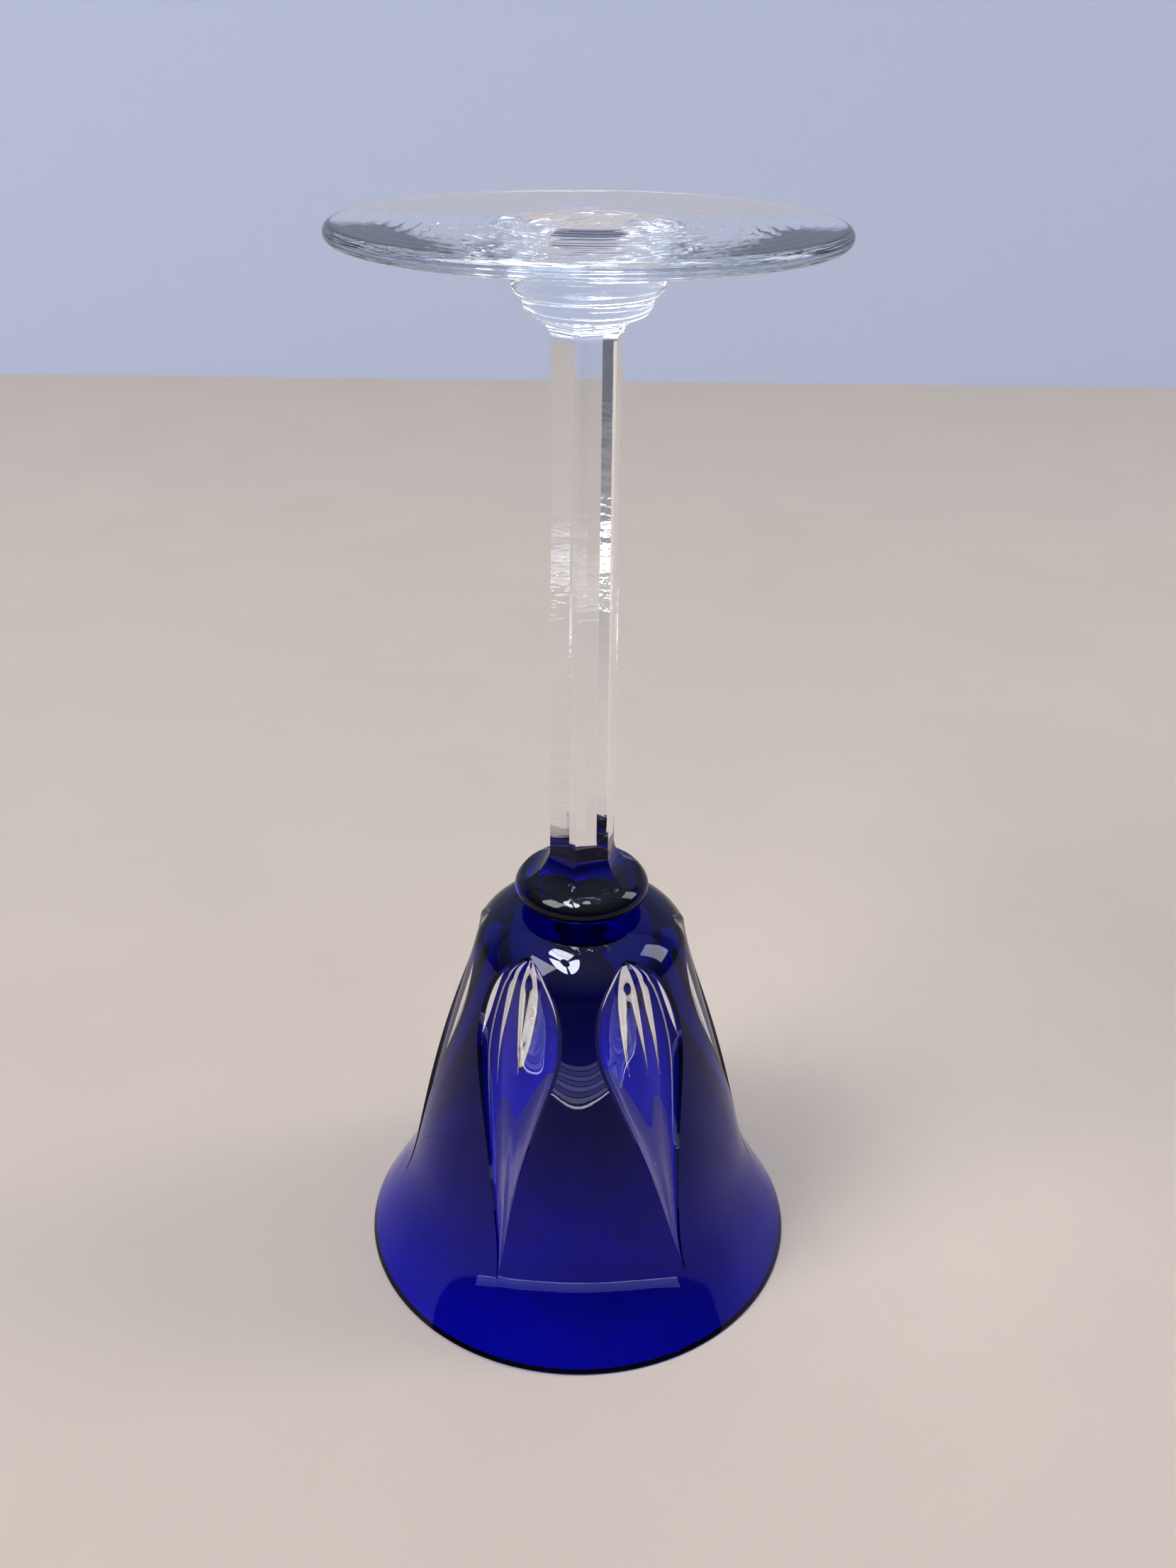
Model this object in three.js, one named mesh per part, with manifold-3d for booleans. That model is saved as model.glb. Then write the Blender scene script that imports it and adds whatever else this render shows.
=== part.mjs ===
// A stemmed hock glass in cased crystal: a cobalt bowl cut through to clear in petals, on a
// six-sided clear stem. It stands mouth-down on its rim, like a bell, with its foot in the air.
// Millimetres, +Z up. The origin is the centre of the rim's plane, where the glass stands.

import * as THREE from "three";
import { mergeVertices } from "three/addons/utils/BufferGeometryUtils.js";
import Module from "manifold-3d";

const wasm = await Module();
wasm.setup();

// ---- Driving dimensions ----

const totalHeight = 189;
const rimRadius = 41;
const footRadius = 37.7;
const seam = 0.2; // the gap left between two pieces that are fused together

// Bowl. Its wall sweeps out from the shoulder to a flared lip.
const bowlTop = 73.6;
const shoulderRadius = 10.5; // of the rounding between the flat top and the wall
const shoulderCentre = new THREE.Vector2(9.8, bowlTop - shoulderRadius);
const wallSlope = 0.289; // outward run of the wall per unit of fall, below the shoulder
const wallReach = 57; // how far the curve's upper and lower handles pull
const lipReach = 24;
const lipSlope = 0.57; // outward run per unit of fall, at the lip
const casingAtLip = 0.25;
const casingAtShoulder = 0.45;
const wallAtLip = 1.1;
const wallAtShoulder = 5;
const wallGrowsTo = 62; // height at which the wall reaches its full thickness

// Petals cut in the bowl, each a pair of hollow flutes with a ridge between them.
const petalCount = 6;
const petalFirst = 28; // degrees from the front, for the first petal
const petalLean = 7; // degrees that a petal drifts round the bowl from its head to its tip
const petalHead = 71.2;
const petalWidest = 56;
const petalTip = 11.5;
const petalHalfWidth = 8.8;
const petalWaist = 0.28; // share of the half width that the taper's lower handle keeps
const petalDepth = 2.35;
const ridgeShare = 0.36; // depth of the ridge, as a share of the petal's depth
const fluteShare = 0.34; // hollow of a flute, as a share of the petal's depth
const fluteBias = 1.2; // how far the hollow is pulled towards the petal's edge
const narrowCut = 0.3; // how slowly the cut gets shallower as the petal narrows

// Knop, a flattened ball of cobalt glass between the bowl and the stem.
const knopSeatRadius = 7.4; // of the flat that it rests on the bowl with
const knopRadius = 11.9;
const knopHalfHeight = 5;
const knopCentre = 77.8;
const knopNeckTop = 84;
const knopNeckRadius = 7.6;

// Stem, cut with six flats that sweep outward at both ends.
const stemSides = 6;
const stemTurn = -11; // degrees from the front to the nearest arris
const stemTop = 175;
const flatAtKnop = 5.1; // distance from the axis to a flat
const flatAtCollar = 4.9;
const knopCove = { start: 86, radius: 6 };
const collarCove = { start: 172.5, radius: 3.5 };

// Collar under the foot: a bulge, a step and a shoulder, as (radius, height above its bottom).
const collarTop = 184.6;
const collarRadiusBelow = 7.2;
const collarBulge = new THREE.Vector2(9.8, 3);
const collarStep = new THREE.Vector2(10, 3.5);
const collarWaist = new THREE.Vector2(11.3, 5);
const collarRadiusAbove = 14;

// Foot, a disc with a full round edge and a polished hollow where the pontil was.
const footEdge = 2.45;
const footThickness = 4.2;
const footSeatRadius = 14.5; // of the flat that rests on the collar
const pontilRadius = 9.5;
const pontilDepth = 0.7;
const pontilLip = 0.3; // depth of the rounding round the hollow

const roundSteps = 48; // sides of every turned piece

// ---- Materials ----

function clearGlass() {
  return new THREE.MeshStandardMaterial({
    color: 0xe9eff4,
    roughness: 0.03,
    metalness: 0,
    transparent: true,
    opacity: 0.35,
  });
}

function cobaltGlass() {
  return new THREE.MeshStandardMaterial({
    color: 0x0a10b4,
    roughness: 0.03,
    metalness: 0,
    transparent: true,
    opacity: 0.8,
  });
}

// ---- Solids ----

function toSolid(geometry) {
  geometry.deleteAttribute("normal");
  geometry.deleteAttribute("uv");
  const merged = mergeVertices(geometry, 1e-4);
  return new wasm.Manifold(
    new wasm.Mesh({
      numProp: 3,
      vertProperties: merged.attributes.position.array,
      triVerts: new Uint32Array(merged.index.array),
    }),
  );
}

function toGeometry(solid) {
  const mesh = solid.getMesh();
  const geometry = new THREE.BufferGeometry();
  geometry.setAttribute("position", new THREE.BufferAttribute(mesh.vertProperties, 3));
  geometry.setIndex(new THREE.BufferAttribute(mesh.triVerts, 1));
  geometry.computeVertexNormals();
  return geometry;
}

// Turns a profile of (radius, height) points, listed from the bottom of the axis to its top.
function turned(profile) {
  const geometry = new THREE.LatheGeometry(profile, roundSteps);
  geometry.rotateX(Math.PI / 2);
  return toSolid(geometry);
}

// A closed surface through equal rings of points, with a flat or fanned cap on each end ring.
function lofted(rings) {
  const count = rings[0].length;
  const positions = rings.flat().flatMap((point) => point.toArray());
  const indices = [];
  for (let row = 0; row + 1 < rings.length; row++) {
    for (let side = 0; side < count; side++) {
      const a = row * count + side;
      const b = row * count + ((side + 1) % count);
      indices.push(a, b, b + count, a, b + count, a + count);
    }
  }
  const last = (rings.length - 1) * count;
  for (let side = 1; side + 1 < count; side++) {
    indices.push(0, side + 1, side);
    indices.push(last, last + side, last + side + 1);
  }
  const geometry = new THREE.BufferGeometry();
  geometry.setAttribute("position", new THREE.Float32BufferAttribute(positions, 3));
  geometry.setIndex(indices);
  return toSolid(geometry);
}

// A point at a bearing from the front, which faces -Y; bearings grow towards +X.
function atBearing(radius, degrees, height) {
  const angle = THREE.MathUtils.degToRad(degrees);
  return new THREE.Vector3(radius * Math.sin(angle), -radius * Math.cos(angle), height);
}

function onAxis(height) {
  return new THREE.Vector2(0, height);
}

// ---- Bowl ----

// The bowl's outer wall as a path from the lip up to the edge of the flat top.
function bowlWall() {
  const lean = Math.atan(wallSlope);
  const joinRadius = shoulderCentre.x + shoulderRadius * Math.cos(lean);
  const joinHeight = shoulderCentre.y + shoulderRadius * Math.sin(lean);
  const wall = new THREE.Path();
  wall.moveTo(rimRadius, 0);
  wall.bezierCurveTo(
    rimRadius - lipSlope * lipReach,
    lipReach,
    joinRadius + wallSlope * wallReach,
    joinHeight - wallReach,
    joinRadius,
    joinHeight,
  );
  wall.absarc(shoulderCentre.x, shoulderCentre.y, shoulderRadius, lean, Math.PI / 2, false);
  return wall;
}

const wallPath = bowlWall();
const wallSteps = 14;
const lastStep = 0.9999; // the path's own end, where its direction is still defined

// The outer wall moved inward by a thickness that depends on the height.
function insetWall(thicknessAt) {
  const points = [];
  for (let step = 0; step <= wallSteps; step++) {
    const along = Math.min(step / wallSteps, lastStep);
    const point = wallPath.getPointAt(along);
    const direction = wallPath.getTangentAt(along);
    const inset = thicknessAt(point.y);
    points.push(new THREE.Vector2(point.x - direction.y * inset, point.y + direction.x * inset));
  }
  return points;
}

function growth(height) {
  return THREE.MathUtils.smoothstep(height, 0, wallGrowsTo);
}

function casingThickness(height) {
  return THREE.MathUtils.lerp(casingAtLip, casingAtShoulder, growth(height));
}

function wallThickness(height) {
  return THREE.MathUtils.lerp(wallAtLip, wallAtShoulder, growth(height));
}

// Everything inside the outer wall, less an inset, closed across the mouth and the top.
function bowlFilled(thicknessAt) {
  const wall = insetWall(thicknessAt);
  const bottom = wall[0].y;
  const top = wall[wallSteps].y;
  return turned([onAxis(bottom), ...wall, onAxis(top)]);
}

// Everything below the plane that the rim is ground flat to.
function belowRim() {
  const depth = 10;
  const slab = new THREE.BoxGeometry(4 * rimRadius, 4 * rimRadius, depth);
  slab.translate(0, 0, -depth / 2);
  return toSolid(slab);
}

// ---- Petals ----

// The edge of a petal as two curves of (half width, height): its head, then its long taper.
const petalHeadEdge = new THREE.CubicBezierCurve(
  new THREE.Vector2(0, petalHead),
  new THREE.Vector2(0.55 * petalHalfWidth, petalHead - 1.4),
  new THREE.Vector2(petalHalfWidth, petalWidest + 8.5),
  new THREE.Vector2(petalHalfWidth, petalWidest),
);
const petalTaperEdge = new THREE.CubicBezierCurve(
  new THREE.Vector2(petalHalfWidth, petalWidest),
  new THREE.Vector2(petalHalfWidth, petalWidest - 7),
  new THREE.Vector2(petalWaist * petalHalfWidth, petalWidest - 16),
  new THREE.Vector2(0, petalTip),
);

// Depth of the cut at a share of the half width: 0 is the ridge and 1 the petal's edge.
function fluteDepth(halfWidth, share) {
  const depth = petalDepth * Math.pow(halfWidth / petalHalfWidth, narrowCut);
  const hollow = 4 * share * (1 - share) * (1 + fluteBias * (share - 0.5));
  return depth * (ridgeShare * (1 - share) + fluteShare * hollow);
}

// The place along the outer wall's path, from 0 to 1, that lies at a height.
function alongWallAt(height) {
  let low = 0;
  let high = 1;
  for (let pass = 0; pass < 24; pass++) {
    const middle = (low + high) / 2;
    if (wallPath.getPointAt(middle).y < height) low = middle;
    else high = middle;
  }
  return low;
}

// One row across a petal's cutter: its roof from edge to edge, then its floor back again.
function petalRow(halfWidth, height, bearing) {
  const overrun = 1.12; // the floor runs on past the edge until it is clear of the glass
  const nearEdge = 0.95;
  const roofClearance = 2;
  const shares = [-overrun, -nearEdge, -0.7, -0.4, 0, 0.4, 0.7, nearEdge, overrun];
  const along = alongWallAt(height);
  const onWall = wallPath.getPointAt(along);
  const direction = wallPath.getTangentAt(along);
  const drift = petalLean * ((petalHead - height) / (petalHead - petalTip));
  const inset = (share, depth) => {
    const radius = onWall.x - direction.y * depth;
    const turn = THREE.MathUtils.radToDeg((share * halfWidth) / onWall.x);
    return atBearing(radius, bearing + drift + turn, onWall.y + direction.x * depth);
  };
  const floor = shares.map((share) => inset(share, fluteDepth(halfWidth, Math.abs(share))));
  const roof = shares.map((share) => inset(share, -roofClearance));
  return [...roof, ...floor.reverse()];
}

function petalCutter(bearing) {
  const headRows = 6;
  const taperRows = 8;
  const thinnest = 0.25; // half width where the cut runs out at either end
  const edge = [
    ...petalTaperEdge.getPoints(taperRows).reverse(),
    ...petalHeadEdge.getPoints(headRows).reverse().slice(1),
  ];
  return lofted(edge.map((point) => petalRow(Math.max(point.x, thinnest), point.y, bearing)));
}

function petalBearings() {
  const spacing = 360 / petalCount;
  return Array.from({ length: petalCount }, (_, index) => petalFirst + index * spacing);
}

const petalCutters = petalBearings().map(petalCutter);

function cutPetals(solid) {
  return petalCutters.reduce((rest, cutter) => rest.subtract(cutter), solid);
}

// The cobalt skin, with its petals open through to the clear glass behind it.
function bowlCasing() {
  const outside = bowlFilled(() => 0);
  const inside = bowlFilled(casingThickness);
  return toGeometry(cutPetals(outside.subtract(inside)));
}

// The clear bowl inside the skin, which holds the bottoms of the cuts.
function bowlLining() {
  const outside = bowlFilled((height) => casingThickness(height) + seam);
  const inside = bowlFilled(wallThickness);
  return toGeometry(cutPetals(outside.subtract(inside).subtract(belowRim())));
}

// ---- Stem, knop and collar ----

function arrisRing(flatDistance, height) {
  const arris = flatDistance / Math.cos(Math.PI / stemSides);
  return Array.from({ length: stemSides }, (_, side) =>
    atBearing(arris, stemTurn + (side * 360) / stemSides, height),
  );
}

// Rings of a cove where the flats sweep outward, as a wheel leaves them, away from its start.
function coveRings(cove, flat, direction, fromAngle, toAngle, steps) {
  return Array.from({ length: steps + 1 }, (_, step) => {
    const angle = THREE.MathUtils.lerp(fromAngle, toAngle, step / steps);
    const height = cove.start + direction * cove.radius * Math.sin(angle);
    return arrisRing(flat + cove.radius * (1 - Math.cos(angle)), height);
  });
}

const neckAngle = Math.asin((knopCove.start - knopNeckTop - seam) / knopCove.radius);

function stem() {
  const collarAngle = Math.asin((stemTop - collarCove.start) / collarCove.radius);
  const lower = coveRings(knopCove, flatAtKnop, -1, neckAngle, 0, 3);
  const upper = coveRings(collarCove, flatAtCollar, 1, 0, collarAngle, 5);
  return toGeometry(lofted([...lower, ...upper]));
}

// The knop's ball and neck before the flats are cut across the neck.
function knopBlank() {
  const foot = knopCentre - Math.sqrt(1 - (knopSeatRadius / knopRadius) ** 2) * knopHalfHeight;
  const lowest = Math.asin((foot - knopCentre) / knopHalfHeight);
  const highest = Math.acos(knopNeckRadius / knopRadius);
  const steps = 9;
  const profile = [onAxis(foot)];
  for (let step = 0; step <= steps; step++) {
    const angle = THREE.MathUtils.lerp(lowest, highest, step / steps);
    const height = knopCentre + knopHalfHeight * Math.sin(angle);
    profile.push(new THREE.Vector2(knopRadius * Math.cos(angle), height));
  }
  profile.push(new THREE.Vector2(knopNeckRadius, knopNeckTop), onAxis(knopNeckTop));
  return turned(profile);
}

// The space left by the six cuts that carry the stem's flats down onto the knop.
function knopScallops() {
  const wide = 2 * knopRadius;
  const sweep = coveRings(knopCove, flatAtKnop, -1, Math.PI / 2, 0, 9);
  const bottom = knopCentre - 2 * knopHalfHeight;
  return lofted([arrisRing(wide, bottom), arrisRing(wide, knopCentre), ...sweep]);
}

function knop() {
  return toGeometry(knopBlank().intersect(knopScallops()));
}

// A turned collar: a bulge over the stem, a step, and a wide shoulder that meets the foot.
function footCollar() {
  const bottom = stemTop + seam;
  const profile = new THREE.Path();
  profile.moveTo(collarRadiusBelow, 0);
  profile.quadraticCurveTo(collarBulge.x - 0.2, 1.1, collarBulge.x, collarBulge.y);
  profile.lineTo(collarStep.x, collarStep.y);
  profile.quadraticCurveTo(collarWaist.x - 0.2, collarStep.y + 0.2, collarWaist.x, collarWaist.y);
  profile.quadraticCurveTo(collarWaist.x + 0.5, 8.4, collarRadiusAbove, collarTop - bottom);
  const side = profile.getPoints(4).map((point) => new THREE.Vector2(point.x, bottom + point.y));
  return toGeometry(turned([onAxis(bottom), ...side, onAxis(collarTop)]));
}

// ---- Foot ----

function foot() {
  const underside = totalHeight - footThickness;
  const edgeRadius = footEdge / 2;
  const edgeCentre = new THREE.Vector2(footRadius - edgeRadius, totalHeight - edgeRadius);
  const profile = new THREE.Path();
  profile.moveTo(footSeatRadius, underside);
  profile.absarc(edgeCentre.x, edgeCentre.y, edgeRadius, -Math.PI / 2, Math.PI / 2, false);
  profile.lineTo(pontilRadius + 1, totalHeight);
  const hollow = new THREE.Vector2(pontilRadius - 2 * pontilLip, totalHeight - pontilLip);
  const deepest = totalHeight - pontilDepth;
  profile.quadraticCurveTo(pontilRadius, totalHeight, hollow.x, hollow.y);
  profile.quadraticCurveTo(pontilRadius / 2, deepest, 0, deepest);
  return toGeometry(turned([onAxis(underside), ...profile.getPoints(4)]));
}

// ---- Assembly ----

function piece(name, geometry, material) {
  const mesh = new THREE.Mesh(geometry, material);
  mesh.name = name;
  return mesh;
}

const glass = new THREE.Group();
glass.add(
  piece("foot", foot(), clearGlass()),
  piece("foot_collar", footCollar(), clearGlass()),
  piece("stem", stem(), clearGlass()),
  piece("knop", knop(), cobaltGlass()),
  piece("bowl_casing", bowlCasing(), cobaltGlass()),
  piece("bowl_lining", bowlLining(), clearGlass()),
);

export default glass;
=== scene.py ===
"""The looks of a stemmed hock glass that stands mouth-down on its rim.

Every piece is made from rings of points round the glass's axis, in millimetres, and is scaled to
metres as its mesh is written. Where two pieces are fused, their touching faces carry the value 1 in
the "fused" attribute. The glass material bends no light there, so the pieces look like one glass.
"""

import math

import bpy
import numpy as np
from mathutils import Matrix, Vector


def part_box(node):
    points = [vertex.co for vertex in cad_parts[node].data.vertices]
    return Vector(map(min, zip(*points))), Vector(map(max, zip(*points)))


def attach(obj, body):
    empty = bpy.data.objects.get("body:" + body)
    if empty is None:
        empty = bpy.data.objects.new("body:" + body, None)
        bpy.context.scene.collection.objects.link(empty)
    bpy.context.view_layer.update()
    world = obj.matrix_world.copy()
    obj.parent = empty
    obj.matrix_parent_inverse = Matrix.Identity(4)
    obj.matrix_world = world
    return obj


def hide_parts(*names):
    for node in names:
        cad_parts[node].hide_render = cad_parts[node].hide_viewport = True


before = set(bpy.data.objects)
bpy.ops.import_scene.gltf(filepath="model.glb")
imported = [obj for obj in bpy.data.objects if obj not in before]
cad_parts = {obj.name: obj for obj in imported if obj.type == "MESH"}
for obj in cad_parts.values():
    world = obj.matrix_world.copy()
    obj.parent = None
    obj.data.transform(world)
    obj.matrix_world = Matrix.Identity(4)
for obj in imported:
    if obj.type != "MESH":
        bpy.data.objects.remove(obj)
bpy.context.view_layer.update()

MM = 0.001


# ---- Dimensions, in millimetres ----


def low_of(node):
    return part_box(node)[0].z / MM


def high_of(node):
    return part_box(node)[1].z / MM


def radius_of(node):
    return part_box(node)[1].x / MM


total_height = high_of("foot")
rim_radius = radius_of("bowl_casing")
foot_radius = radius_of("foot")
knop_radius = radius_of("knop")
bowl_top = high_of("bowl_casing")
foot_underside = low_of("foot")
collar_bottom = low_of("foot_collar")
stem_bottom = low_of("stem")

fuse_gap = 0.02  # between the touching faces of two fused pieces
joint_reach = 0.1  # how far a piece reaches into the gap that the frame leaves at the stem's ends

# Bowl wall
shoulder_radius = 10.5
shoulder_reach = 9.8  # from the axis to the centre of the shoulder's rounding
wall_slope = 0.289  # outward run per unit of fall, below the shoulder
wall_reach = 57.0  # how far the curve's upper and lower handles pull
lip_reach = 24.0
lip_slope = 0.57  # outward run per unit of fall, at the lip
casing_at_lip = 0.25
casing_at_shoulder = 0.45
wall_at_lip = 1.1
wall_at_shoulder = 5.0
wall_grows_to = 62.0  # height at which the wall reaches its full thickness

# Petals
petal_count = 6
petal_first = 28.0  # degrees from the front, for the first petal
petal_lean = 7.0  # degrees that a petal drifts round the bowl from its head to its tip
petal_head = 71.2
petal_widest = 56.0
petal_tip = 11.5
petal_half_width = 8.8
petal_depth = 2.35
petal_waist = 0.28  # share of the half width that the taper's lower handle keeps
petal_narrowest = 0.12  # half width at which the cut starts
petal_spread = 9.0  # half angle, in degrees, that a petal's columns have again at the lip
ridge_share = 0.36  # depth of the ridge, as a share of the petal's depth
flute_share = 0.34  # hollow of a flute, as a share of the petal's depth
flute_bias = 1.2  # how far the hollow is pulled towards the petal's edge
depth_power = 0.3  # how slowly the cut gets shallower as the petal narrows

# Knop, stem and collar
knop_half_height = 5.0
knop_centre = 77.8
knop_neck_radius = 7.6
knop_seat_radius = 7.4
stem_sides = 6
stem_turn = -11.0  # degrees from the front to the nearest arris
flat_at_knop = 5.1  # distance from the axis to a flat
flat_at_collar = 4.9
knop_cove_start = 86.0
knop_cove_radius = 6.0
collar_cove_start = 172.5
collar_cove_radius = 3.5
arris_rounding = 0.15
uncut = 40.0  # a flat's distance where it cuts nothing, beyond every radius

# Collar: a bulge, a step and a shoulder, as (radius, height above its bottom)
collar_radius_below = 7.2
collar_bulge = (9.8, 3.0)
collar_step = (10.0, 3.5)
collar_waist = (11.3, 5.0)
collar_radius_above = 14.0
collar_shoulder = 8.4

# Foot
foot_edge = 2.45
foot_seat_radius = 14.5  # of the flat that rests on the collar
pontil_radius = 9.5
pontil_depth = 0.7
pontil_lip = 0.3  # depth of the rounding round the hollow


# ---- Curves ----


def bezier(points, count):
    """Points on a Bezier curve of any degree."""
    at = np.linspace(0, 1, count)[:, None]
    points = [np.array(p, float) for p in points]
    degree = len(points) - 1
    return sum(
        math.comb(degree, i) * (1 - at) ** (degree - i) * at**i * p
        for i, p in enumerate(points)
    )


def arc(centre, radius, start, end, count):
    """Points on an arc, or on part of an ellipse if radius is a pair. Angles are in degrees."""
    angle = np.radians(np.linspace(start, end, count))
    across, up = radius if isinstance(radius, tuple) else (radius, radius)
    return np.stack(
        [centre[0] + across * np.cos(angle), centre[1] + up * np.sin(angle)], axis=1
    )


def joined(*stretches):
    """One outline from several, without the doubled points where they meet."""
    points = np.concatenate([np.atleast_2d(np.array(s, float)) for s in stretches])
    step = np.linalg.norm(np.diff(points, axis=0), axis=1)
    return points[np.concatenate([[True], step > 1e-6])]


def along(points):
    """Distance along an outline, from 0 to 1 at its end."""
    step = np.linalg.norm(np.diff(points, axis=0), axis=1)
    total = np.concatenate([[0], np.cumsum(step)])
    return total / total[-1]


def resampled(points, at):
    distance = along(points)
    return np.stack([np.interp(at, distance, points[:, i]) for i in range(2)], axis=1)


def smooth_step(value, low, high):
    share = np.clip((value - low) / (high - low), 0, 1)
    return share * share * (3 - 2 * share)


# ---- Meshes from rings ----

sharp_angle = math.radians(22)  # edges that bend more than this are drawn sharp


def on_rings(radius, bearing, height):
    """Points from radius, bearing in degrees from the front and height, as one array."""
    angle = np.radians(bearing)
    radius, angle, height = np.broadcast_arrays(radius, angle, height)
    return np.stack([radius * np.sin(angle), -radius * np.cos(angle), height], axis=-1)


def ring_mesh(name, points, label=None, kept=None, fused=None):
    """A closed mesh from rows of rings. Points that share a label become one vertex.

    kept says which cells between rows are faces. fused gives each cell its "fused" value.
    """
    rows, columns = points.shape[:2]
    if label is None:
        label = np.arange(rows * columns).reshape(rows, columns)
    label = label.copy()
    for end in (0, -1):
        if np.ptp(points[end], axis=0).max() < 1e-9:
            label[end] = label[end, 0]
    used, number = np.unique(label, return_inverse=True)
    number = number.reshape(rows, columns)
    vertices = points.reshape(-1, 3)[used] * MM
    next_column = np.roll(number, -1, axis=1)
    quads = np.stack(
        [number[:-1], next_column[:-1], next_column[1:], number[1:]], axis=-1
    ).reshape(-1, 4)
    wanted = np.ones(len(quads), bool) if kept is None else kept.reshape(-1)
    values = np.zeros(len(quads)) if fused is None else np.asarray(fused, float).reshape(-1)
    faces = []
    face_values = []
    for quad, value in zip(quads[wanted].tolist(), values[wanted].tolist()):
        corners = list(dict.fromkeys(quad))
        if len(corners) > 2:
            faces.append(corners)
            face_values.append(value)
    mesh = bpy.data.meshes.new(name)
    mesh.from_pydata(vertices.tolist(), [], faces)
    mesh.attributes.new("fused", "FLOAT", "FACE").data.foreach_set("value", face_values)
    mesh.validate()
    mesh.shade_smooth()
    mesh.set_sharp_from_angle(angle=sharp_angle)
    piece = bpy.data.objects.new(name, mesh)
    bpy.context.scene.collection.objects.link(piece)
    return piece


# ---- Bowl ----


def wall_outline():
    """The bowl's outer wall from the lip to the edge of its flat top."""
    lean = math.atan(wall_slope)
    centre = (shoulder_reach, bowl_top - shoulder_radius)
    join = arc(centre, shoulder_radius, math.degrees(lean), math.degrees(lean), 1)[0]
    wall = bezier(
        [
            (rim_radius, 0),
            (rim_radius - lip_slope * lip_reach, lip_reach),
            (join[0] + wall_slope * wall_reach, join[1] - wall_reach),
            join,
        ],
        1200,
    )
    shoulder = arc(centre, shoulder_radius, math.degrees(lean), 90, 300)
    return joined(wall, shoulder)


wall = wall_outline()
wall_rows = 210
plain_wall_rows = 110
top_rows = 14
row_at = np.linspace(0, 1, wall_rows)
lip_blend = (0.11, 0.125)  # shares of the wall between which cut rows take over from uncut ones


def wall_inset(thickness_at, at):
    """The outer wall moved inward along its own normal, at the given shares of its length."""
    distance = along(wall)
    direction = np.gradient(wall, distance, axis=0)
    direction /= np.linalg.norm(direction, axis=1)[:, None]
    inset = thickness_at(wall[:, 1])
    moved = wall + np.stack([-direction[:, 1], direction[:, 0]], axis=1) * inset[:, None]
    return np.stack([np.interp(at, distance, moved[:, i]) for i in range(2)], axis=1)


def growth(height):
    return smooth_step(height, 0, wall_grows_to)


def casing_thickness(height):
    return casing_at_lip + (casing_at_shoulder - casing_at_lip) * growth(height)


def wall_thickness(height):
    return wall_at_lip + (wall_at_shoulder - wall_at_lip) * growth(height)


def rows_from_rim(thickness_at, count):
    """Row positions for an inset wall, shifted near the lip so that the first is at height 0."""
    even = np.linspace(0, 1, count)
    near_lip = np.linspace(0, 0.2, 4001)
    heights = wall_inset(thickness_at, near_lip)[:, 1]
    start = np.interp(0, heights, near_lip)
    shifted = 0.12  # share of the wall whose rows are shifted
    return np.where(even < shifted, start + even * (1 - start / shifted), even)


def petal_half_width_at(height):
    """Half the width of a petal at each height, and 0 above its head and below its tip."""
    head = bezier(
        [
            (0, petal_head),
            (0.55 * petal_half_width, petal_head - 1.4),
            (petal_half_width, petal_widest + 8.5),
            (petal_half_width, petal_widest),
        ],
        200,
    )
    taper = bezier(
        [
            (petal_half_width, petal_widest),
            (petal_half_width, petal_widest - 7),
            (petal_waist * petal_half_width, petal_widest - 16),
            (0, petal_tip),
        ],
        300,
    )
    edge = joined(head, taper)[::-1]
    return np.interp(height, edge[:, 1], edge[:, 0], left=0, right=0)


def flute_depth(half_width, share):
    """Depth of a petal's cut: share 0 is its ridge and 1 its edge."""
    depth = petal_depth * (half_width / petal_half_width) ** depth_power
    hollow = 4 * share * (1 - share) * (1 + flute_bias * (share - 0.5))
    return depth * (ridge_share * (1 - share) + flute_share * hollow)


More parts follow.
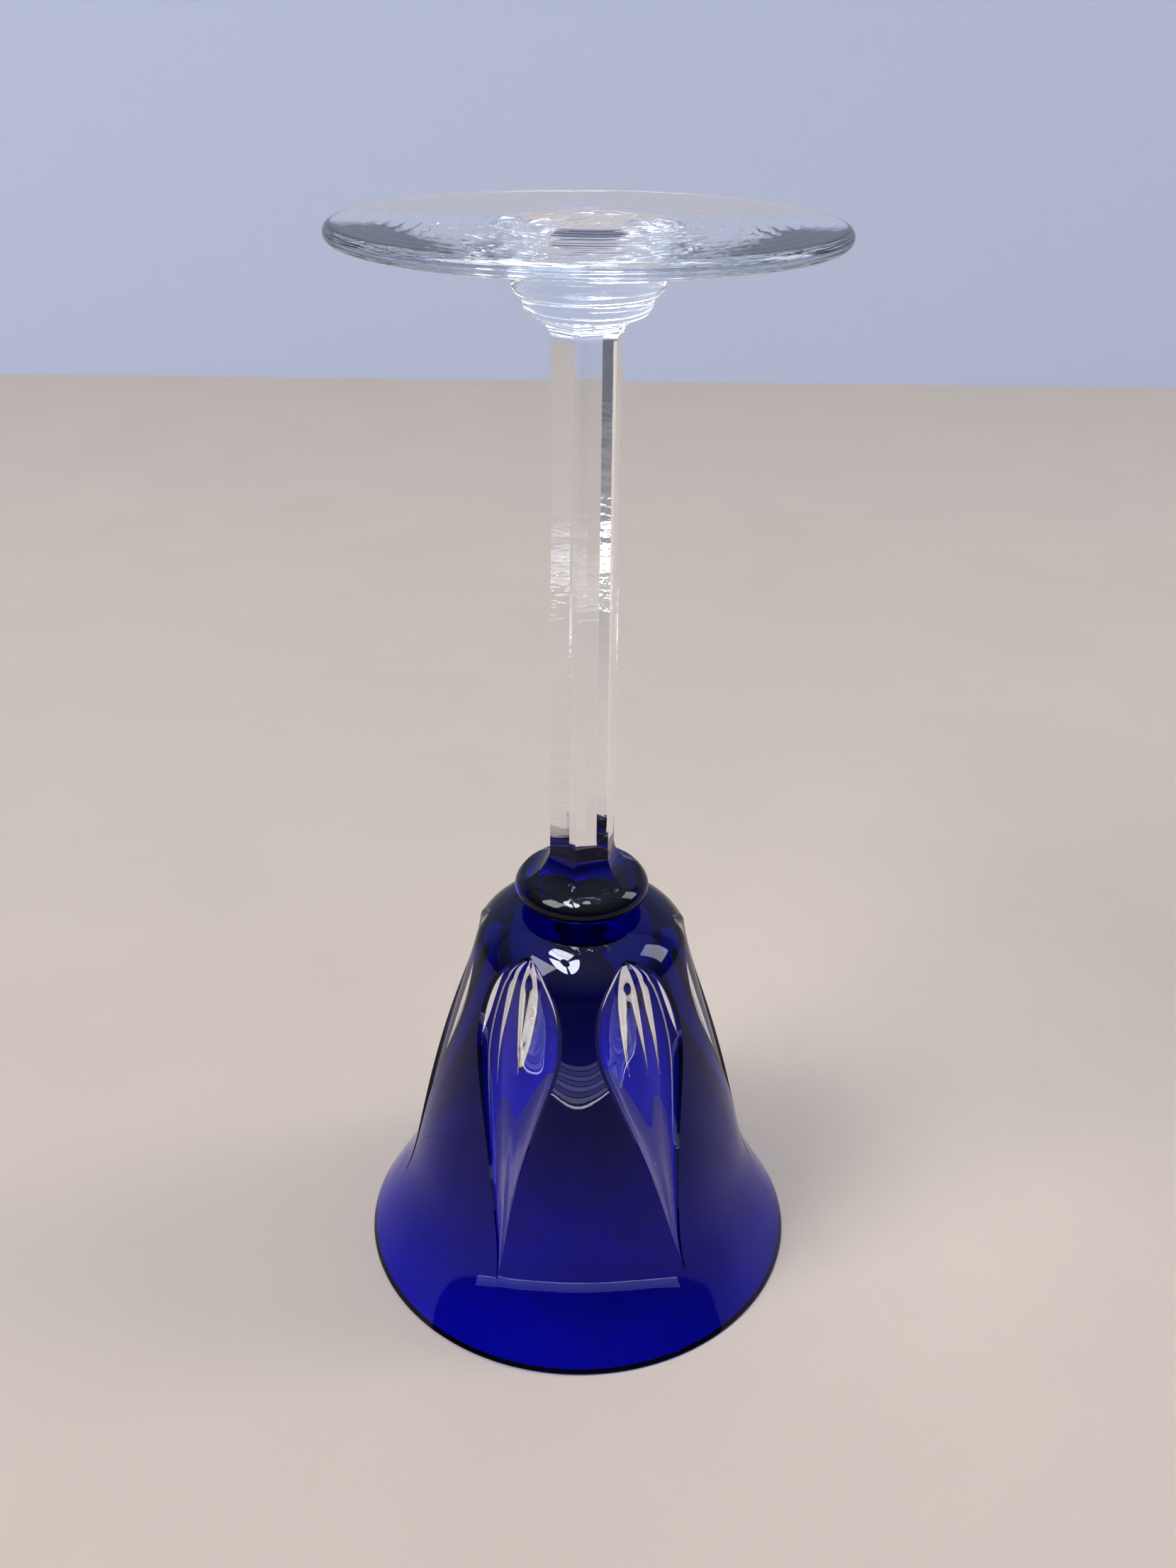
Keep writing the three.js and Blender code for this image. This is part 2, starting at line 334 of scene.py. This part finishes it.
class Sector:
    """The columns of points round the bowl, laid so that they follow the petals' edges and ridges."""

    land_columns = 8
    bevel_columns = 2
    floor_columns = 9
    least_step = 0.005  # how much deeper than the skin a ridge must be for the petal to be open

    def __init__(self, skin_at):
        """skin_at gives the depth at which the cut breaks through to the next piece."""
        self.outer = resampled(wall, row_at)
        height = self.outer[:, 1]
        self.width = petal_half_width_at(height)
        self.in_petal = self.width > petal_narrowest
        self.skin = skin_at(height)
        width = np.maximum(self.width, petal_narrowest)
        self.break_share = self.solve_break(width)
        self.open_row = self.in_petal & (flute_depth(width, 0) > self.skin + self.least_step)
        self.shares = self.column_shares()
        cut = self.in_petal[:, None] & (np.abs(self.shares) < 1)
        self.depth = np.where(cut, flute_depth(width[:, None], np.abs(self.shares)), 0)
        self.bearing = self.column_bearings(width)

    def solve_break(self, width):
        """The share of the half width at which each row's cut reaches the skin's depth."""
        shares = np.linspace(0.42, 1, 400)  # the outer side of a flute, where it gets shallower
        depths = flute_depth(width[:, None], shares[None, :])
        target = np.minimum(self.skin, 0.8 * depths.max(axis=1))
        return np.array([np.interp(-t, -d, shares) for t, d in zip(target, depths)])

    def column_shares(self):
        """Shares across one petal and its two half lands. Beyond 1 or -1 they lie on the land."""
        broken = self.break_share[:, None]
        floor = broken * np.linspace(0, 1, self.floor_columns + 1)[None, :]
        bevel = broken + (1 - broken) * np.linspace(0, 1, self.bevel_columns + 1)[None, 1:]
        half = np.concatenate([floor, bevel], axis=1)
        land = 1 + np.linspace(0, 1, self.land_columns + 1)[None, 1:]
        land = np.repeat(land, len(half), axis=0)
        return np.concatenate([-land[:, ::-1][:, 1:], -half[:, ::-1], half[:, 1:], land], axis=1)

    def column_bearings(self, width):
        """Bearing of every column. Away from the petals, their columns spread apart again."""
        radius = np.maximum(self.outer[:, 0], 1)
        half_angle = np.degrees(width / radius)
        height = self.outer[:, 1]
        spread = np.maximum(petal_tip - height, 0) / petal_tip * petal_spread
        half_angle = np.maximum(half_angle, spread)[:, None]
        half_sector = 180 / petal_count
        share = np.abs(self.shares)
        on_land = half_angle + (half_sector - half_angle) * (share - 1)
        offset = np.sign(self.shares) * np.where(share > 1, on_land, share * half_angle)
        fall = np.clip((petal_head - height) / (petal_head - petal_tip), 0, 1)
        centre = petal_first + petal_lean * fall[:, None]
        sectors = [centre + offset + k * 2 * half_sector for k in range(petal_count)]
        return np.concatenate(sectors, axis=1)

    def open_points(self):
        """Which points lie where the cut has broken through."""
        inside_break = np.abs(self.shares) <= self.break_share[:, None] + 1e-9
        return self.around(self.open_row[:, None] & inside_break)

    def around(self, values):
        """Values for one petal's columns, repeated round the bowl."""
        return np.tile(values, (1, petal_count))

    def inset_rows(self, depth):
        """Radius and height of every point at a depth below the outer wall."""
        direction = np.gradient(self.outer, axis=0)
        direction /= np.linalg.norm(direction, axis=1)[:, None]
        radius = self.outer[:, :1] - direction[:, 1:] * depth
        height = self.outer[:, 1:] + direction[:, :1] * depth
        return radius, height


def flat_top(rim_ring, height, break_radius=None):
    """Rows that close the bowl's flat top, from its edge to the axis."""
    radii = np.linspace(1, 0, top_rows)[1:]
    rows = [rim_ring * np.array([r, r, 0]) + np.array([0, 0, height]) for r in radii]
    if break_radius is not None:
        edge = np.linalg.norm(rim_ring[0, :2])
        at = np.abs(radii * edge - break_radius).argmin()
        share = break_radius / edge
        rows[at] = rim_ring * np.array([share, share, 0]) + np.array([0, 0, height])
    return np.stack(rows)


def plain_rows(thickness_at, bearing, count=wall_rows):
    """Rows of an inset wall with no cut in it, from height 0 up."""
    inset = wall_inset(thickness_at, rows_from_rim(thickness_at, count))
    return on_rings(inset[:, :1], bearing, inset[:, 1:])


def near_rim(uncut, cut):
    """Cut rows, but with the rows near the lip taken from the uncut ones, which start at height 0."""
    share = smooth_step(row_at, *lip_blend)[:, None, None]
    return uncut * (1 - share) + cut * share


def cells_within(points):
    """Which cells of a grid have all four of their corners among the marked points."""
    corners = [points[:-1], points[1:]]
    corners += [np.roll(c, -1, axis=1) for c in corners]
    return np.logical_and.reduce(corners)


def bowl_casing():
    """The cobalt skin, open in each petal where the cut goes deeper than the skin."""
    sector = Sector(casing_thickness)
    skin = sector.skin[:, None]
    outer_radius, outer_height = sector.inset_rows(np.minimum(sector.depth, skin))
    outside = on_rings(sector.around(outer_radius), sector.bearing, sector.around(outer_height))
    inner_radius, inner_height = sector.inset_rows(np.broadcast_to(skin, sector.depth.shape))
    inside = on_rings(sector.around(inner_radius), sector.bearing, sector.around(inner_height))
    inside = near_rim(plain_rows(casing_thickness, sector.bearing), inside)
    is_open = sector.open_points()
    outside = np.where(is_open[..., None], inside, outside)

    inner_top = flat_top(inside[-1], bowl_top - casing_at_shoulder)
    outer_top = flat_top(outside[-1], bowl_top, knop_seat_radius)
    points = np.concatenate([inner_top[::-1], inside[::-1], outside, outer_top])
    rows, columns = points.shape[:2]
    label = np.arange(rows * columns).reshape(rows, columns)
    first_inside = len(inner_top)
    first_outside = first_inside + wall_rows
    outside_ends = first_outside + wall_rows
    in_label = label[first_inside:first_outside][::-1]
    out_label = label[first_outside:outside_ends]
    out_label[is_open] = in_label[is_open]

    open_points = np.zeros((rows, columns), bool)
    open_points[first_inside:first_outside] = is_open[::-1]
    open_points[first_outside:outside_ends] = is_open
    kept = ~cells_within(open_points)

    fused = np.zeros((rows - 1, columns))
    fused[: first_outside - 1] = 1
    seat = np.linalg.norm(points[1:, 0, :2], axis=1) < knop_seat_radius - 1e-6
    seat &= np.arange(1, rows) >= first_outside
    fused[seat] = 1
    return ring_mesh("bowl_casing_glass", points, label, kept, fused)


def bowl_lining():
    """The clear bowl inside the skin, with the petals' flutes cut in it."""

    def skin_at(height):
        return casing_thickness(height) + fuse_gap

    sector = Sector(skin_at)
    skin = sector.skin[:, None]
    radius, height = sector.inset_rows(np.maximum(sector.depth, skin))
    outside = on_rings(sector.around(radius), sector.bearing, sector.around(height))
    outside = near_rim(plain_rows(skin_at, sector.bearing), outside)
    inside = plain_rows(wall_thickness, sector.bearing[-1:], plain_wall_rows)
    inner_top = flat_top(inside[-1], bowl_top - wall_at_shoulder)
    outer_top = flat_top(outside[-1], bowl_top - casing_at_shoulder - fuse_gap)
    points = np.concatenate([inner_top[::-1], inside[::-1], outside, outer_top])
    rows, columns = points.shape[:2]
    first_outside = len(inner_top) + plain_wall_rows

    last_outside = first_outside + wall_rows - 1
    fused = np.zeros((rows - 1, columns))
    fused[first_outside:last_outside] = ~cells_within(sector.open_points())
    fused[last_outside:] = 1
    return ring_mesh("bowl_lining_glass", points, fused=fused)


# ---- Turned and cut pieces ----

round_columns = 300  # a multiple of the stem's sides, so that columns fall on its arrises
round_bearing = stem_turn + np.arange(round_columns) * 360 / round_columns


def flats(distance):
    """Radius of a six-sided section at every column, from its flats' distance to the axis."""
    side = 360 / stem_sides
    from_flat = np.radians((round_bearing - stem_turn) % side - side / 2)
    return np.asarray(distance)[:, None] / np.cos(from_flat)[None, :]


def blended_low(a, b, rounding):
    """The lower of two radii, with their crossing rounded over."""
    mix = np.clip(0.5 + 0.5 * (b - a) / rounding, 0, 1)
    return b * (1 - mix) + a * mix - rounding * mix * (1 - mix)


def cove(start, radius, direction, heights, flat):
    """Distance to the flats at heights along a cove that sweeps outward from its start."""
    run = np.clip(direction * (heights - start) / radius, 0, 1)
    return flat + radius * (1 - np.sqrt(1 - run**2))


def cap(ring):
    """Two smaller rings that close a ring, from its middle outward."""
    middle = ring.mean(axis=0)
    return [middle + (ring - middle) * share for share in (0, 0.5)]


def fused_ends(name, radius, heights):
    """A piece from its radius at each height and column, closed by a fused flat at each end."""
    rings = on_rings(radius, round_bearing[None, :], heights[:, None])
    points = np.concatenate([cap(rings[0]), rings, cap(rings[-1])[::-1]])
    fused = np.zeros((len(points) - 1, round_columns))
    fused[:2] = 1
    fused[-2:] = 1
    return ring_mesh(name, points, fused=fused)


def with_flats(blank, cut_here, flat):
    """A turned blank with six flats cut in it where cut_here says so."""
    cut = np.where(cut_here[:, None], flats(flat), uncut)
    return blended_low(blank[:, None], cut, arris_rounding)


def stem():
    low = stem_bottom - joint_reach
    high = collar_bottom - joint_reach
    heights = np.concatenate(
        [
            np.linspace(low, knop_cove_start, 14),
            np.linspace(knop_cove_start, collar_cove_start, 60)[1:-1],
            np.linspace(collar_cove_start, high, 20),
        ]
    )
    share = (heights - knop_cove_start) / (collar_cove_start - knop_cove_start)
    share = np.clip(share, 0, 1)
    flat = flat_at_knop + (flat_at_collar - flat_at_knop) * share
    flat = cove(knop_cove_start, knop_cove_radius, -1, heights, flat)
    flat = cove(collar_cove_start, collar_cove_radius, 1, heights, flat)
    return fused_ends("stem_glass", flats(flat), heights)


def knop():
    low = bowl_top + fuse_gap
    high = stem_bottom - joint_reach - fuse_gap
    below = math.degrees(math.asin((low - knop_centre) / knop_half_height))
    ball = arc((0, knop_centre), (knop_radius, knop_half_height), below, 50, 60)
    neck_heights = np.linspace(ball[-1, 1], high, 40)[1:]
    lift = np.clip((neck_heights - knop_centre) / knop_half_height, 0, 1)
    neck = np.maximum(knop_radius * np.sqrt(1 - lift**2), knop_neck_radius)
    heights = np.concatenate([ball[:, 1], neck_heights])
    blank = np.concatenate([ball[:, 0], neck])
    flat = cove(knop_cove_start, knop_cove_radius, -1, heights, flat_at_knop)
    cut_here = heights > knop_cove_start - knop_cove_radius
    return fused_ends("knop_glass", with_flats(blank, cut_here, flat), heights)


def foot_collar():
    low = collar_bottom - joint_reach + fuse_gap
    high = foot_underside - fuse_gap

    def above(radius, height):
        return (radius, low + height)

    bulge = [
        above(collar_radius_below, 0),
        above(collar_bulge[0] - 0.2, 1.1),
        above(*collar_bulge),
    ]
    step = [
        above(*collar_step),
        above(collar_waist[0] - 0.2, collar_step[1] + 0.2),
        above(*collar_waist),
    ]
    shoulder = [
        above(*collar_waist),
        above(collar_waist[0] + 0.5, collar_shoulder),
        (collar_radius_above, high),
    ]
    outline = joined(
        bezier(bulge, 24), above(*collar_step), bezier(step, 14), bezier(shoulder, 30)
    )
    heights = outline[:, 1]
    flat = cove(collar_cove_start, collar_cove_radius, 1, heights, flat_at_collar)
    cut_here = heights < collar_cove_start + collar_cove_radius
    return fused_ends("foot_collar_glass", with_flats(outline[:, 0], cut_here, flat), heights)


def foot():
    """A disc with a full round edge and a polished hollow where the pontil was."""
    edge = foot_edge / 2
    edge_centre = (foot_radius - edge, total_height - edge)
    underside = [(foot_seat_radius, foot_underside), (edge_centre[0], edge_centre[1] - edge)]
    upper_side = [(edge_centre[0], total_height), (pontil_radius + 1, total_height)]
    lip_bottom = (pontil_radius - 2 * pontil_lip, total_height - pontil_lip)
    lip = [upper_side[1], (pontil_radius, total_height), lip_bottom]
    floor = total_height - pontil_depth
    hollow = [lip_bottom, (pontil_radius / 2, floor), (0, floor)]
    outline = joined(
        (0, foot_underside),
        (collar_radius_above, foot_underside),
        bezier(underside, 24),
        arc(edge_centre, edge, -90, 90, 20),
        bezier(upper_side, 24),
        bezier(lip, 10),
        bezier(hollow, 24),
    )
    points = on_rings(outline[:, :1], round_bearing[None, :], outline[:, 1:])
    fused = np.zeros((len(points) - 1, round_columns))
    fused[0] = 1
    return ring_mesh("foot_glass", points, fused=fused)


# ---- Materials ----

glass_ior = 1.52
clear_colour = (0.75, 0.88, 1.0)
clear_density = 6


class Nodes:
    """A material's node tree, with short calls that add and link nodes."""

    def __init__(self, name):
        self.material = bpy.data.materials.new(name)
        self.material.use_nodes = True
        self.tree = self.material.node_tree
        self.tree.nodes.clear()

    def add(self, kind, inputs=None, **settings):
        node = self.tree.nodes.new(kind)
        for key, value in settings.items():
            setattr(node, key, value)
        for key, value in (inputs or {}).items():
            if isinstance(value, bpy.types.NodeSocket):
                self.tree.links.new(value, node.inputs[key])
            else:
                node.inputs[key].default_value = value
        return node

    def math(self, operation, *values):
        return self.add("ShaderNodeMath", dict(enumerate(values)), operation=operation).outputs[0]

    def ramp(self, value, low, high, low_result, high_result):
        inputs = {0: value, 1: low, 2: high, 3: low_result, 4: high_result}
        return self.add("ShaderNodeMapRange", inputs).outputs[0]

    def place(self):
        return self.add("ShaderNodeTexCoord").outputs["Object"]

    def noise(self, scale, detail=2.0, stretch=(1, 1, 1)):
        mapping = self.add("ShaderNodeMapping", {"Vector": self.place(), "Scale": stretch})
        inputs = {"Vector": mapping.outputs[0], "Scale": scale, "Detail": detail}
        return self.add("ShaderNodeTexNoise", inputs).outputs["Fac"]


def turned_lines(nodes, spacing, inner, outer):
    """Height of the fine rings that turning leaves, between two radii."""
    split = nodes.add("ShaderNodeSeparateXYZ", {0: nodes.place()})
    flat = nodes.add("ShaderNodeCombineXYZ", {"X": split.outputs["X"], "Y": split.outputs["Y"]})
    length = nodes.add("ShaderNodeVectorMath", {0: flat.outputs[0]}, operation="LENGTH")
    radius = length.outputs["Value"]
    wander = nodes.math("MULTIPLY", nodes.noise(120), spacing * 0.8)
    turns = nodes.math("DIVIDE", nodes.math("ADD", radius, wander), spacing / math.tau)
    wave = nodes.math("SINE", turns)
    fade = nodes.ramp(radius, inner, outer, 1.0, 0.15)
    return nodes.math("MULTIPLY", wave, fade)


def glass(name, passes, density, relief, relief_depth, tint=None):
    """Glass that absorbs what it doesn't pass, by depth. Fused faces bend no light.

    relief gives the height of the fine waves in its polish, and tint the colour of its faces; the
    casing's tint holds painted shade.
    """
    nodes = Nodes(name)
    fused = nodes.add("ShaderNodeAttribute", attribute_name="fused").outputs["Fac"]
    bend = nodes.math("MULTIPLY_ADD", fused, 1 - glass_ior, glass_ior)
    waves = nodes.add(
        "ShaderNodeBump", {"Height": relief(nodes), "Distance": relief_depth, "Strength": 1.0}
    )
    smears = nodes.ramp(nodes.noise(45, 4), 0.45, 0.75, 0.0, 0.03)
    inputs = {
        "Base Color": tint(nodes) if tint else (1, 1, 1, 1),
        "Roughness": smears,
        "IOR": bend,
        "Transmission Weight": 1.0,
        "Normal": waves.outputs[0],
    }
    surface = nodes.add("ShaderNodeBsdfPrincipled", inputs)
    volume = nodes.add("ShaderNodeVolumeAbsorption", {"Color": (*passes, 1), "Density": density})
    surfaces = {"Surface": surface.outputs[0], "Volume": volume.outputs[0]}
    nodes.add("ShaderNodeOutputMaterial", surfaces)
    return nodes.material


def mixed_colour(nodes, share, low, high):
    inputs = {0: share, 6: (*low, 1), 7: (*high, 1)}
    return nodes.add("ShaderNodeMix", inputs, data_type="RGBA").outputs[2]


def cobalt_painted_shade(nodes):
    """The cobalt is painted darker from the lip to the shoulder, as painted shade of the dim room it
    reflects, with faint cloudy streaks.
    """
    height = nodes.add("ShaderNodeSeparateXYZ", {0: nodes.place()}).outputs["Z"]
    streaks = nodes.ramp(nodes.noise(60, 3, (1, 1, 0.35)), 0.3, 0.7, -0.004, 0.004)
    # Painted shade: pale blue near the lip, turning dark at the shoulder.
    share = nodes.ramp(nodes.math("ADD", height, streaks), 0.006, 0.046, 0.0, 1.0)
    return mixed_colour(nodes, share, (0.6, 0.52, 0.9), (0.05, 0.04, 0.3))


def plain(name, colour, roughness):
    material = bpy.data.materials.new(name)
    material.use_nodes = True
    surface = material.node_tree.nodes["Principled BSDF"]
    surface.inputs["Base Color"].default_value = (*colour, 1)
    surface.inputs["Roughness"].default_value = roughness
    return material


# ---- Stage, light and camera ----


def stage_plane(name, corners, material):
    mesh = bpy.data.meshes.new(name)
    mesh.from_pydata(corners, [], [(0, 1, 2, 3)])
    mesh.materials.append(material)
    plane = bpy.data.objects.new(name, mesh)
    bpy.context.scene.collection.objects.link(plane)
    return plane


def area_light(name, place, target, size, radiance, colour=(1, 1, 1)):
    """A soft light of the given size. Its radiance is what a mirror facing it would show."""
    data = bpy.data.lights.new(name, "AREA")
    data.shape = "RECTANGLE"
    data.size, data.size_y = size
    data.energy = radiance * size[0] * size[1] * math.pi
    data.color = colour
    lamp = bpy.data.objects.new(name, data)
    lamp.location = place
    lamp.rotation_euler = (Vector(target) - Vector(place)).to_track_quat("-Z", "Y").to_euler()
    lamp.visible_camera = False
    bpy.context.scene.collection.objects.link(lamp)
    return lamp


def glints_only(lamps, pieces):
    """Lets lamps light the glass alone, so that bright glints don't flood the floor."""
    shown = bpy.data.collections.new("glass_only")
    for piece in pieces:
        shown.objects.link(piece)
    for lamp in lamps:
        lamp.light_linking.receiver_collection = shown


def spoked_lamp():
    """A round ceiling lamp in three parts, with a dark hub and spokes between them."""
    middle = Vector((-0.15, -0.24, 0.75))
    reach = (0.14, 0.34)
    hub = 0.3  # radius of the dark hub, as a share of the lamp's
    part_angle = math.tau / 3
    half_spoke = math.radians(9)
    steps = 16
    corners = []
    faces = []
    for part in range(3):
        start = math.tau / 4 + part_angle * part + half_spoke
        for step in range(steps + 1):
            angle = start + (part_angle - 2 * half_spoke) * step / steps
            for share in (hub, 1):
                across = math.cos(angle) * share * reach[0]
                along_y = math.sin(angle) * share * reach[1]
                corners.append(middle + Vector((across, -along_y, 0)))
        first = part * 2 * (steps + 1)
        faces += [
            (first + 2 * i, first + 2 * i + 1, first + 2 * i + 3, first + 2 * i + 2)
            for i in range(steps)
        ]
    nodes = Nodes("lamp_glow")
    glow = nodes.add("ShaderNodeEmission", {"Color": (0.92, 0.96, 1, 1), "Strength": 15.0})
    nodes.add("ShaderNodeOutputMaterial", {"Surface": glow.outputs[0]})
    mesh = bpy.data.meshes.new("spoked_lamp")
    mesh.from_pydata(corners, [], faces)
    mesh.materials.append(nodes.material)
    lamp = bpy.data.objects.new("spoked_lamp", mesh)
    lamp.visible_camera = False
    bpy.context.scene.collection.objects.link(lamp)
    return lamp


def make_world():
    """Soft room light, brightest overhead and dim near the horizon."""
    world = bpy.data.worlds.new("studio")
    bpy.context.scene.world = world
    world.use_nodes = True
    tree = world.node_tree
    background = tree.nodes["Background"]
    place = tree.nodes.new("ShaderNodeTexCoord")
    split = tree.nodes.new("ShaderNodeSeparateXYZ")
    ramp = tree.nodes.new("ShaderNodeValToRGB")
    ramp.color_ramp.elements[0].position = 0.1
    ramp.color_ramp.elements[0].color = (0.1, 0.11, 0.15, 1)
    ramp.color_ramp.elements[1].position = 0.85
    ramp.color_ramp.elements[1].color = (0.55, 0.6, 0.72, 1)
    tree.links.new(place.outputs["Generated"], split.inputs[0])
    tree.links.new(split.outputs["Z"], ramp.inputs[0])
    tree.links.new(ramp.outputs[0], background.inputs["Color"])
    background.inputs["Strength"].default_value = 1.0


def floor_paint():
    """Pale matt floor, painted dark in front of the glass, out of the picture, as painted shade of a
    dim room.
    """
    nodes = Nodes("floor_paint")
    forward = nodes.add("ShaderNodeSeparateXYZ", {0: nodes.place()}).outputs["Y"]
    # Painted shade: the floor turns dark towards the camera, so the glass reflects a dim room.
    share = nodes.ramp(forward, -0.5, -0.16, 0.0, 1.0)
    mottle = nodes.ramp(nodes.noise(18, 5), 0.3, 0.7, 0.985, 1.015)
    colour = mixed_colour(nodes, share, (0.2, 0.19, 0.19), (0.65, 0.56, 0.46))
    # The random mottle is the floor's own tone; the darkening in front is painted shade.
    mottled_and_shaded = nodes.add("ShaderNodeVectorMath", {0: colour, 3: mottle}, operation="SCALE")
    inputs = {"Base Color": mottled_and_shaded.outputs[0], "Roughness": 0.6}
    surface = nodes.add("ShaderNodeBsdfPrincipled", inputs)
    nodes.add("ShaderNodeOutputMaterial", {"Surface": surface.outputs[0]})
    return nodes.material


def make_stage():
    """A floor just below the rim, and a wall behind the glass."""
    wall_paint = plain("wall_paint", (0.66, 0.71, 0.84), 0.8)
    reach = 3.0
    back = 0.72
    floor_height = -0.0003
    wall_height = 1.2
    near_left = (-reach, -reach, floor_height)
    near_right = (reach, -reach, floor_height)
    far_left = (-reach, back, floor_height)
    far_right = (reach, back, floor_height)
    top_left = (-reach, back, wall_height)
    top_right = (reach, back, wall_height)
    stage_plane("floor", [near_left, near_right, far_right, far_left], floor_paint())
    stage_plane("wall", [far_left, far_right, top_right, top_left], wall_paint)


def make_lights():
    """Two softboxes light the floor and the wall."""
    aim = (0, 0, 0.08)
    area_light("softbox_left", (-1.0, -0.6, 1.2), aim, (0.8, 0.8), 5)
    area_light("softbox_right", (1.2, 0.2, 0.8), aim, (0.4, 0.8), 3.4)


def make_glints(pieces):
    """Lamps whose reflections in the glass are seen, but that don't light the floor."""
    aim = (0, 0, 0.01)
    pale = (0.82, 0.88, 1.0)
    front = -0.27
    width = 0.75
    lowest_slat = 0.0035
    slat_spacing = 0.0025
    slat = (width, 0.0021)
    lamps = [spoked_lamp()]
    for step, radiance in enumerate((1.8, 0.9, 1.7, 1.0, 1.4, 0.9, 1.2)):
        place = (0, front, lowest_slat + slat_spacing * step)
        lamps.append(area_light("blind_%d" % step, place, aim, slat, radiance, pale))
    lamps.append(area_light("sill", (0, front, 0.001), aim, (width, 0.001), 6))
    lamps.append(area_light("window", (0.03, 0.34, 0.75), aim, (0.1, 0.22), 6, pale))
    glints_only(lamps, pieces)


def make_camera():
    """A camera in front of the glass and above it, as a person who looks down at a table sees it."""
    back = 5.4522 * rim_radius * MM
    up = 5.3149 * rim_radius * MM
    pitch, yaw, roll = 0.4934, 0.0040, 0.0128
    level = Vector((math.sin(yaw), math.cos(yaw), 0))
    forward = level * math.cos(pitch) - Vector((0, 0, math.sin(pitch)))
    right = Vector((math.cos(yaw), -math.sin(yaw), 0))
    above = right.cross(forward)
    turned_right = math.cos(roll) * right + math.sin(roll) * above
    turned_up = math.cos(roll) * above - math.sin(roll) * right
    data = bpy.data.cameras.new("camera")
    data.sensor_width = 36
    data.lens = 33.94
    data.clip_start = 0.01
    camera = bpy.data.objects.new("camera", data)
    axes = Matrix((turned_right, turned_up, -forward)).transposed().to_4x4()
    camera.matrix_world = Matrix.Translation((0, -back, up)) @ axes
    bpy.context.scene.collection.objects.link(camera)
    bpy.context.scene.camera = camera


def clear_glass(name, relief, relief_depth):
    return glass(name, clear_colour, clear_density, relief, relief_depth)


def fine_rings(nodes):
    return turned_lines(nodes, 0.0024, 0.012, 0.026)


def drawn_waves(nodes):
    """Waves that cross the stem's flats."""
    return nodes.noise(70, 3, (1, 1, 7))


def polish_waves(nodes):
    return nodes.noise(110, 1)


def knop_waves(nodes):
    return nodes.noise(160, 2)


def make_glass():
    foot_glass = clear_glass("clear_foot", fine_rings, 0.00003)
    stem_glass = clear_glass("clear_stem", drawn_waves, 0.00003)
    bowl_glass = clear_glass("clear_bowl", polish_waves, 0.00002)
    # The casing's face colour carries painted shade, darker towards the shoulder.
    casing = glass(
        "cobalt_casing", (0.08, 0.0, 0.98), 14000, polish_waves, 0.00002, cobalt_painted_shade
    )
    knop_glass = glass("cobalt_knop", (0.1, 0.0, 0.955), 2200, knop_waves, 0.00002)
    pieces = {
        "foot": (foot, foot_glass, "foot_glass"),
        "foot_collar": (foot_collar, foot_glass, "collar_glass"),
        "stem": (stem, stem_glass, "stem_glass"),
        "knop": (knop, knop_glass, "knop_glass"),
        "bowl_casing": (bowl_casing, casing, "casing_glass"),
        "bowl_lining": (bowl_lining, bowl_glass, "lining_glass"),
    }
    made = []
    for node, (make, material, slot) in pieces.items():
        piece = make()
        piece.data.materials.append(material)
        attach(piece, "root")
        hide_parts(node)
        made.append(piece)
    return made


def set_light_paths():
    """Enough bounces for light to pass every wall of the glass, and a contrasty look."""
    cycles = bpy.context.scene.cycles
    cycles.max_bounces = 32
    cycles.transmission_bounces = 32
    cycles.glossy_bounces = 12
    view = bpy.context.scene.view_settings
    view.view_transform = "Standard"
    view.look = "High Contrast"


make_world()
make_stage()
make_lights()
make_camera()
make_glints(make_glass())
set_light_paths()
